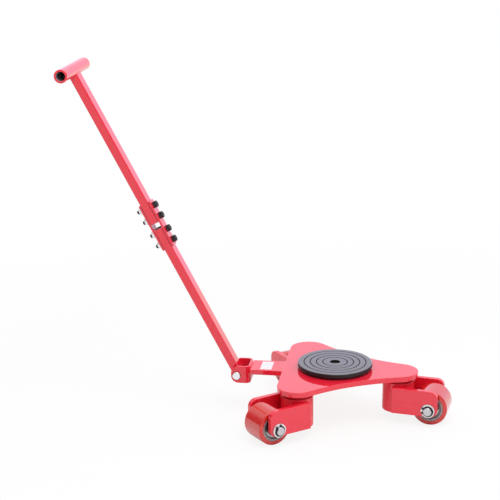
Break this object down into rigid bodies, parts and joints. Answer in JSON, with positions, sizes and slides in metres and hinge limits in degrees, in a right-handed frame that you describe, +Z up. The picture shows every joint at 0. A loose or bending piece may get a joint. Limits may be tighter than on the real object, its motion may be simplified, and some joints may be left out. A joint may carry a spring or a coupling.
{
  "type": "machine skate",
  "caption": "Triangular steel machine skate with swivel roller casters under round lobes, a turning rubber load pad on top and a hinged tow handle with a cross grip.",
  "frame": {"origin": "turntable axis at the centre of the load pad's top face", "axes": "+Z up out of the load pad, -X towards the tow handle, so -Y is the left side"},
  "size_m": [0.9251, 0.4913, 0.8483],
  "materials": {
    "red_paint": "glossy red stoved paint",
    "pad_rubber": "satin moulded rubber",
    "black_steel": "black oxide",
    "bronze": "machined bronze",
    "zinc_steel": "bright zinc plate",
    "bearing_steel": "ground steel",
    "hub_iron": "cast grey iron",
    "tread_polyurethane": "glossy cast polyurethane",
    "black_spring_steel": "phosphated spring steel"
  },
  "bodies": {
    "deck": {"deck_plate": "red_paint", "tow_tongue": "red_paint", "tow_clevis": "red_paint", "handle_pin": "zinc_steel", "handle_pin_clip": "zinc_steel", "turntable_slip_ring": "bronze", "turntable_bolt": "black_steel", "turntable_washer": "zinc_steel", "turntable_nut": "zinc_steel", "kingpins": "bearing_steel", "kingpin_washers": "zinc_steel", "kingpin_nuts": "zinc_steel", "swivel_upper_races": "bearing_steel", "swivel_rollers": "bearing_steel", "swivel_seals": "pad_rubber"},
    "turntable": {"turntable_plate": "black_steel", "load_pad": "pad_rubber"},
    "handle": {"handle_sleeve": "zinc_steel", "handle_lower_tube": "red_paint", "handle_upper_tube": "red_paint", "splice_plates": "red_paint", "splice_screws": "black_steel", "splice_nuts": "zinc_steel", "grip_tube": "red_paint"},
    "left_swivel": {"left_fork_plates": "red_paint", "left_swivel_housing": "red_paint", "left_kingpin_bush": "bronze", "left_swivel_lower_race": "bearing_steel", "left_axle": "bearing_steel", "left_axle_washers": "zinc_steel", "left_axle_clips": "black_spring_steel", "left_axle_spacers": "bearing_steel", "left_bearing_inner_rings": "bearing_steel"},
    "left_wheel": {"left_bearing_outer_rings": "bearing_steel", "left_wheel_hub": "hub_iron", "left_wheel_tread": "tread_polyurethane"},
    "right_swivel": {"right_fork_plates": "red_paint", "right_swivel_housing": "red_paint", "right_kingpin_bush": "bronze", "right_swivel_lower_race": "bearing_steel", "right_axle": "bearing_steel", "right_axle_washers": "zinc_steel", "right_axle_clips": "black_spring_steel", "right_axle_spacers": "bearing_steel", "right_bearing_inner_rings": "bearing_steel"},
    "right_wheel": {"right_bearing_outer_rings": "bearing_steel", "right_wheel_hub": "hub_iron", "right_wheel_tread": "tread_polyurethane"},
    "rear_swivel": {"rear_fork_plates": "red_paint", "rear_swivel_housing": "red_paint", "rear_kingpin_bush": "bronze", "rear_swivel_lower_race": "bearing_steel", "rear_axle": "bearing_steel", "rear_axle_washers": "zinc_steel", "rear_axle_clips": "black_spring_steel", "rear_axle_spacers": "bearing_steel", "rear_bearing_inner_rings": "bearing_steel"},
    "rear_wheel": {"rear_bearing_outer_rings": "bearing_steel", "rear_wheel_hub": "hub_iron", "rear_wheel_tread": "tread_polyurethane"}
  },
  "joints": [
    {"name": "turntable_spin", "type": "hinge", "parent": "deck", "child": "turntable", "pos_m": [0, 0, 0], "axis": [0, 0, 1], "continuous": true},
    {"name": "handle_pitch", "type": "hinge", "parent": "deck", "child": "handle", "pos_m": [-0.2369, 0, -0.036], "axis": [0, 1, 0], "range_deg": [-67, 55]},
    {"name": "left_swivel_turn", "type": "hinge", "parent": "deck", "child": "left_swivel", "pos_m": [-0.077, -0.13337, 0], "axis": [0, 0, 1], "continuous": true},
    {"name": "left_wheel_roll", "type": "hinge", "parent": "left_swivel", "child": "left_wheel", "pos_m": [-0.1403, -0.18705, -0.0905], "axis": [0.6468, -0.7627, 0], "continuous": true},
    {"name": "right_swivel_turn", "type": "hinge", "parent": "deck", "child": "right_swivel", "pos_m": [-0.077, 0.13337, 0], "axis": [0, 0, 1], "continuous": true},
    {"name": "right_wheel_roll", "type": "hinge", "parent": "right_swivel", "child": "right_wheel", "pos_m": [-0.1281, 0.19877, -0.0905], "axis": [-0.788, -0.6157, 0], "continuous": true},
    {"name": "rear_swivel_turn", "type": "hinge", "parent": "deck", "child": "rear_swivel", "pos_m": [0.154, 0, 0], "axis": [0, 0, 1], "continuous": true},
    {"name": "rear_wheel_roll", "type": "hinge", "parent": "rear_swivel", "child": "rear_wheel", "pos_m": [0.23586, -0.0137, -0.0905], "axis": [0.165, 0.9863, 0], "continuous": true}
  ]
}
